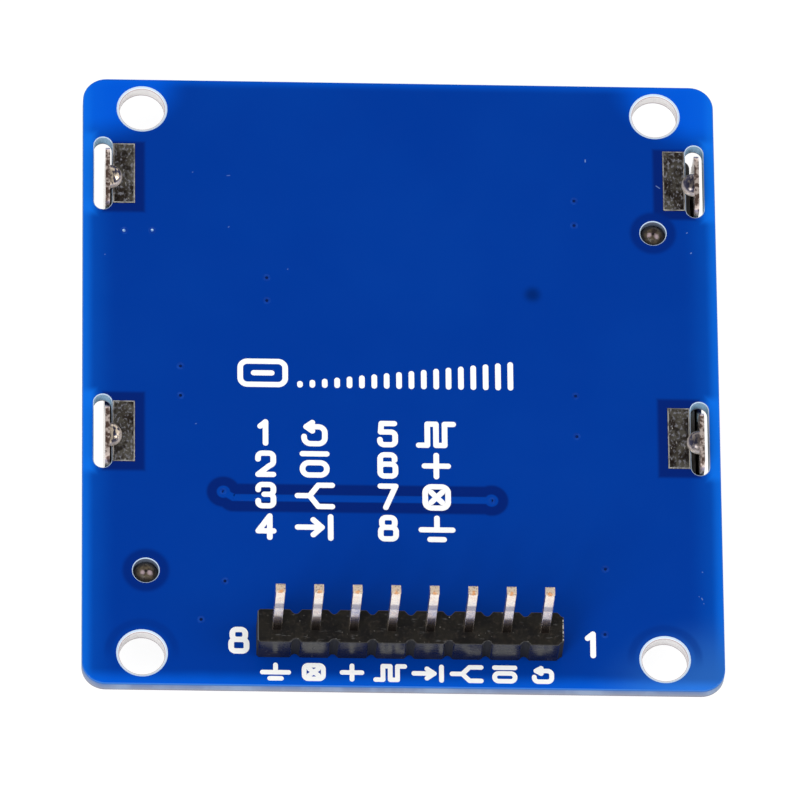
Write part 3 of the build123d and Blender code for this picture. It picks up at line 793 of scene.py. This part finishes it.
maskMaterial = maskFinish()
tinnedMaterial = tinnedFinish()
pinMaterial = pinFinish()
inkMaterial = inkFinish()
guideMaterial = guideFinish()
bezelMaterial = bezelFinish()
solderMaterial = metalFinish(
    "solder", paint(206, 204, 200), paint(166, 164, 160), rough=0.16, lump=0.5, depth=0.02
)
goldMaterial = metalFinish(
    "goldContact", paint(232, 190, 110), paint(214, 168, 88), rough=0.18, lump=0.8, depth=0.004
)
siliconMaterial = plasticFinish("silicon", paint(38, 40, 48), paint(90, 92, 98), rough=0.15)
rubberMaterial = plasticFinish(
    "stripRubber", paint(34, 34, 36), paint(70, 70, 72), rough=0.6, lump=0.3
)
ceramicMaterial = plasticFinish(
    "chipCeramic", paint(150, 122, 92), paint(200, 196, 188), rough=0.45, lump=0.5
)
ledMaterial = plasticFinish(
    "ledResin", paint(236, 232, 190), paint(250, 250, 246), rough=0.3, lump=0.5
)
filmMaterial = plasticFinish(
    "whiteFilm", paint(232, 232, 228), paint(250, 250, 250), rough=0.4, lump=3.0
)
headerMaterial = headerFinish()
displayMaterial = displayFinish()
glassMaterial = glassFinish()

nodeFinishes = {
    "circuit_board": maskMaterial,
    "bezel": bezelMaterial,
    "light_guide": guideMaterial,
    "header_body": headerMaterial,
    "title_print": inkMaterial,
    "legend_print": inkMaterial,
    "header_print": inkMaterial,
    "front_polariser": displayMaterial,
    "rear_polariser": filmMaterial,
    "front_glass": glassMaterial,
    "rear_glass": glassMaterial,
    "diffuser_film": filmMaterial,
    "reflector_film": filmMaterial,
    "controller_chip": siliconMaterial,
    "rubber_strip": rubberMaterial,
    "contact_fingers": goldMaterial,
    "series_resistor": ceramicMaterial,
    "reservoir_capacitor": ceramicMaterial,
}
for number in range(1, 9):
    nodeFinishes[f"header_pin_{number}"] = pinMaterial
    nodeFinishes[f"solder_joint_{number}"] = solderMaterial
for number in range(1, 5):
    nodeFinishes[f"side_led_{number}"] = ledMaterial

for nodeName, material in nodeFinishes.items():
    for slot in nodes[nodeName].material_slots:
        slot.material = material
print("finishes")


def clearSelection():
    bpy.ops.object.select_all(action="DESELECT")


def pick(piece):
    clearSelection()
    piece.select_set(True)
    bpy.context.view_layer.objects.active = piece


def settle(piece, name, materials):
    # puts the place in the mesh, names the piece and lets it ride on the module
    pick(piece)
    bpy.ops.object.transform_apply(location=True, rotation=True, scale=True)
    piece.name = name
    piece.data.name = name
    for material in materials:
        piece.data.materials.append(material)
    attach(piece, "root")


def copyPiece(piece):
    twin = piece.copy()
    twin.data = piece.data.copy()
    bpy.context.collection.objects.link(twin)
    return twin


def applyModifiers(piece):
    pick(piece)
    for modifier in list(piece.modifiers):
        bpy.ops.object.modifier_apply(modifier=modifier.name)


def selectFaces(piece, wanted):
    # selects the faces of a piece in edit mode that pass a test
    mesh = bmesh.from_edit_mesh(piece.data)
    chosen = [face for face in mesh.faces if wanted(face)]
    for face in mesh.faces:
        face.select_set(False)
    for face in chosen:
        face.select_set(True)
    mesh.select_flush_mode()
    bmesh.update_edit_mesh(piece.data)


topNormal = 0.5  # a face whose normal rises more than this is on top
roundSteps = 3
smoothAngle = math.radians(50)

# Tinned pads: solder with a raised lip and an uneven skin, in place of the plain plates
tinnedPad = {
    "edgeRound": 0.045,
    "lip": 0.03,
    "lipSlope": 0.04,
    "sink": 0.024,
    "cuts": 48,
    "skin": 0.03,
    "lump": 0.45,
    "lumpDetail": 3,
}


def unevenSkin(pad, floorHeight):
    # lets the sunk floor of a pad rise and fall
    skin = bpy.data.textures.new("solderSkin", "CLOUDS")
    skin.noise_scale = tinnedPad["lump"] * mm
    skin.noise_depth = tinnedPad["lumpDetail"]
    sameHeight = 0.0001 * mm
    group = pad.vertex_groups.new(name="floor")
    inner = [
        vertex.index for vertex in pad.data.vertices
        if abs(vertex.co.z - floorHeight) < sameHeight
    ]
    group.add(inner, 1.0, "REPLACE")
    uneven = pad.modifiers.new("uneven", "DISPLACE")
    uneven.texture = skin
    uneven.texture_coords = "LOCAL"
    uneven.vertex_group = "floor"
    uneven.direction = "Z"
    uneven.strength = tinnedPad["skin"] * mm
    applyModifiers(pad)


def makePad(nodeName):
    low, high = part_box(nodeName)
    sink = tinnedPad["sink"] * mm
    clearSelection()
    bpy.ops.mesh.primitive_cube_add(size=1, location=(low + high) / 2, scale=high - low)
    pad = bpy.context.object
    bpy.ops.object.transform_apply(location=True, rotation=True, scale=True)
    bpy.ops.object.mode_set(mode="EDIT")
    selectFaces(pad, lambda face: face.normal.z > topNormal)
    bpy.ops.mesh.bevel(offset=tinnedPad["edgeRound"] * mm, segments=roundSteps)
    selectFaces(pad, lambda face: face.normal.z > 0.999)  # the flat top, without its round edge
    bpy.ops.mesh.inset(thickness=tinnedPad["lip"] * mm)
    bpy.ops.mesh.inset(thickness=tinnedPad["lipSlope"] * mm, depth=-sink)
    bpy.ops.mesh.subdivide(number_cuts=tinnedPad["cuts"])
    bpy.ops.object.mode_set(mode="OBJECT")
    unevenSkin(pad, high.z - sink)
    bpy.ops.object.shade_smooth_by_angle(angle=smoothAngle)
    settle(pad, nodeName + "_tin", [tinnedMaterial])
    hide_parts(nodeName)


for padName in padNames:
    makePad(padName)
print("tinned pads")


# Track on the back: copper standing up under the mask, between two vias
def makeTrack(name, start, end):
    breadth = 2 * backLayout["trackHalf"]
    height = backLayout["trackHeight"]
    run = Vector(end) - Vector(start)
    middle = (Vector(start) + Vector(end)) / 2
    clearSelection()
    bpy.ops.mesh.primitive_cube_add(
        size=1,
        location=(middle.x * mm, middle.y * mm, (boardHigh.z + height / 2) * mm),
        rotation=(0, 0, math.atan2(run.y, run.x)),
        scale=(run.length * mm, breadth * mm, height * mm),
    )
    track = bpy.context.object
    bpy.ops.object.transform_apply(location=False, rotation=False, scale=True)
    bpy.ops.object.mode_set(mode="EDIT")
    selectFaces(track, lambda face: face.normal.z > topNormal)
    bpy.ops.mesh.bevel(offset=height * 0.9 * mm, segments=roundSteps)
    bpy.ops.object.mode_set(mode="OBJECT")
    bpy.ops.object.shade_smooth_by_angle(angle=smoothAngle)
    settle(track, name, [maskMaterial])


makeTrack("back_track", backLayout["trackBend"], backLayout["rightVia"])
makeTrack("back_track_end", backLayout["leftVia"], backLayout["trackBend"])
print("track")


# Covered vias: a low collar and a dimple; each step is a radius and a height
viaShape = {
    "sides": 28,
    "base": 0.02,
    "steps": (
        (0.27, 0.001), (0.23, 0.008), (0.19, 0.022), (0.15, 0.026), (0.11, 0.014), (0.06, 0.004),
    ),
    "darkRadius": 0.115,
    "smoothAngle": math.radians(60),
    "collar": (paint(0, 52, 146), paint(6, 66, 164)),
    "dimple": (paint(2, 34, 104), paint(0, 22, 72)),
    "paintedGlint": (paint(40, 96, 184), paint(206, 236, 250)),
}


def viaFinish(name, first, second):
    finish = Finish(name, Specular_IOR_Level=0.25)
    cloud = finish.grain(0.3)
    finish.feed("Base Color", finish.mottle(cloud, (0.3, 0.7), first, second))
    finish.feed("Roughness", cloud * 0.2 + 0.12)
    finish.bump(cloud, 0.006)
    return finish.material


def makeVias():
    steps = viaShape["steps"]
    topRadius, topHeight = steps[0]
    clearSelection()
    bpy.ops.mesh.primitive_cylinder_add(
        vertices=viaShape["sides"],
        radius=topRadius * mm,
        depth=viaShape["base"] * mm,
        location=(0, 0, (topHeight - viaShape["base"] / 2) * mm),
    )
    first = bpy.context.object
    bpy.ops.object.transform_apply(location=True, rotation=True, scale=True)
    bpy.ops.object.mode_set(mode="EDIT")
    selectFaces(first, lambda face: face.normal.z > topNormal)
    for (outerRadius, outerHeight), (innerRadius, innerHeight) in zip(steps, steps[1:]):
        inward = (outerRadius - innerRadius) * mm
        bpy.ops.mesh.inset(thickness=inward, depth=(innerHeight - outerHeight) * mm)
    bpy.ops.object.mode_set(mode="OBJECT")
    first.data.materials.append(viaFinish("viaMask", *viaShape["collar"]))
    first.data.materials.append(viaFinish("viaDimple", *viaShape["dimple"]))
    paintedGlint = viaFinish("viaPaintedGlint", *viaShape["paintedGlint"])
    for face in first.data.polygons:
        isMiddle = face.center.xy.length < viaShape["darkRadius"] * mm
        face.material_index = 1 if isMiddle and face.normal.z > 0 else 0
    bpy.ops.object.shade_smooth_by_angle(angle=viaShape["smoothAngle"])
    spots = backLayout["vias"] + backLayout["paintedGlintVias"]
    spots = spots + (backLayout["leftVia"], backLayout["rightVia"])
    for number, spot in enumerate(spots):
        via = copyPiece(first)
        # painted highlight in the dimples of two vias
        if spot in backLayout["paintedGlintVias"]:
            via.data.materials[1] = paintedGlint
        via.location = (spot[0] * mm, spot[1] * mm, boardHigh.z * mm)
        settle(via, f"via_{number + 1}", [])
    bpy.data.objects.remove(first)


makeVias()
print("vias")

# Floor, light and camera
studio = {
    "floorHalf": 3.0,
    "floorGlow": 0.9,
    "floorTones": (paint(124, 124, 124), paint(150, 150, 150)),
    "worldFill": 0.71,
    "worldHorizon": 1.0,
    "worldTop": 0.05,
    "worldFade": (0.15, 0.75),
    "keyPower": 5.7,
    "keyPlace": (-0.55, -0.75, 0.75),
    "sidePower": 2.75,
    "sidePlace": (0.85, -0.15, 0.6),
    "lampSize": 0.5,
}


def makeFloor():
    # white to the eye, to reflections and through glass, and still a place for shadows
    finish = Finish("floorWhite", Roughness=0.9, Specular_IOR_Level=0.0)
    cloud = finish.grain(200.0) * 0.05
    finish.feed("Base Color", finish.blend(cloud, *studio["floorTones"]))
    camera = finish.node("ShaderNodeLightPath", {}, {}, "Is Camera Ray")
    glossy = finish.other(camera, "Is Glossy Ray")
    seen = camera.larger(glossy).larger(finish.other(camera, "Is Transmission Ray"))
    glow = finish.node("ShaderNodeEmission", {}, {"Strength": seen * studio["floorGlow"]})
    surface = Wire(finish, finish.surface.outputs[0])
    both = finish.node("ShaderNodeAddShader", {}, {0: surface, 1: glow})
    output = finish.tree.nodes["Material Output"]
    finish.tree.links.new(both.socket, output.inputs["Surface"])
    clearSelection()
    bpy.ops.mesh.primitive_plane_add(size=2 * studio["floorHalf"])
    floor = bpy.context.object
    floor.name = "studio_floor"
    floor.data.materials.append(finish.material)


def makeWorld():
    # a white room for the camera; reflections see it bright at the horizon and dark overhead
    world = bpy.data.worlds.new("studioWorld")
    bpy.context.scene.world = world
    world.use_nodes = True
    shader = Shader(world.node_tree)
    direction = shader.node("ShaderNodeTexCoord", {}, {}, "Generated")
    height = shader.node("ShaderNodeSeparateXYZ", {}, {0: direction}, "Z")
    fadeFrom, fadeTo = studio["worldFade"]
    values = {"Value": height, "From Min": fadeFrom, "From Max": fadeTo}
    drop = studio["worldHorizon"] - studio["worldTop"]
    gradient = shader.node("ShaderNodeMapRange", {}, values) * -drop + studio["worldHorizon"]
    camera = shader.node("ShaderNodeLightPath", {}, {}, "Is Camera Ray")
    glossy = shader.other(camera, "Is Glossy Ray")
    clear = camera.larger(shader.other(camera, "Is Transmission Ray"))
    strength = glossy * (gradient - studio["worldFill"]) + studio["worldFill"]
    strength = clear * (1.0 - strength) + strength
    background = world.node_tree.nodes["Background"]
    background.inputs["Color"].default_value = (1, 1, 1, 1)
    world.node_tree.links.new(strength.socket, background.inputs["Strength"])


def makeLamp(name, place, power):
    data = bpy.data.lights.new(name, "AREA")
    data.shape = "SQUARE"
    data.size = studio["lampSize"]
    data.energy = power
    lamp = bpy.data.objects.new(name, data)
    bpy.context.scene.collection.objects.link(lamp)
    lamp.location = place
    lamp.rotation_euler = (Vector((0, 0, 0)) - Vector(place)).to_track_quat("-Z", "Y").to_euler()


cameraView = {
    "place": (-0.04203, -0.36570, 0.76228),
    "heading": -6.567,
    "tilt": 25.84,
    "roll": 6.72,
    "lens": 564.4,
    "sensor": 36.0,
    "clip": (0.01, 20.0),
}


def makeCamera():
    data = bpy.data.cameras.new("camera")
    data.sensor_fit = "HORIZONTAL"
    data.sensor_width = cameraView["sensor"]
    data.lens = cameraView["lens"]
    data.clip_start, data.clip_end = cameraView["clip"]
    camera = bpy.data.objects.new("camera", data)
    bpy.context.scene.collection.objects.link(camera)
    turn = (
        Matrix.Rotation(math.radians(cameraView["heading"]), 4, "Z")
        @ Matrix.Rotation(math.radians(cameraView["tilt"]), 4, "X")
        @ Matrix.Rotation(math.radians(cameraView["roll"]), 4, "Z")
    )
    camera.matrix_world = Matrix.Translation(cameraView["place"]) @ turn
    bpy.context.scene.camera = camera


makeFloor()
makeWorld()
makeLamp("key", studio["keyPlace"], studio["keyPower"])
makeLamp("side", studio["sidePlace"], studio["sidePower"])
makeCamera()
bpy.context.scene.view_settings.view_transform = "Standard"
print("studio")
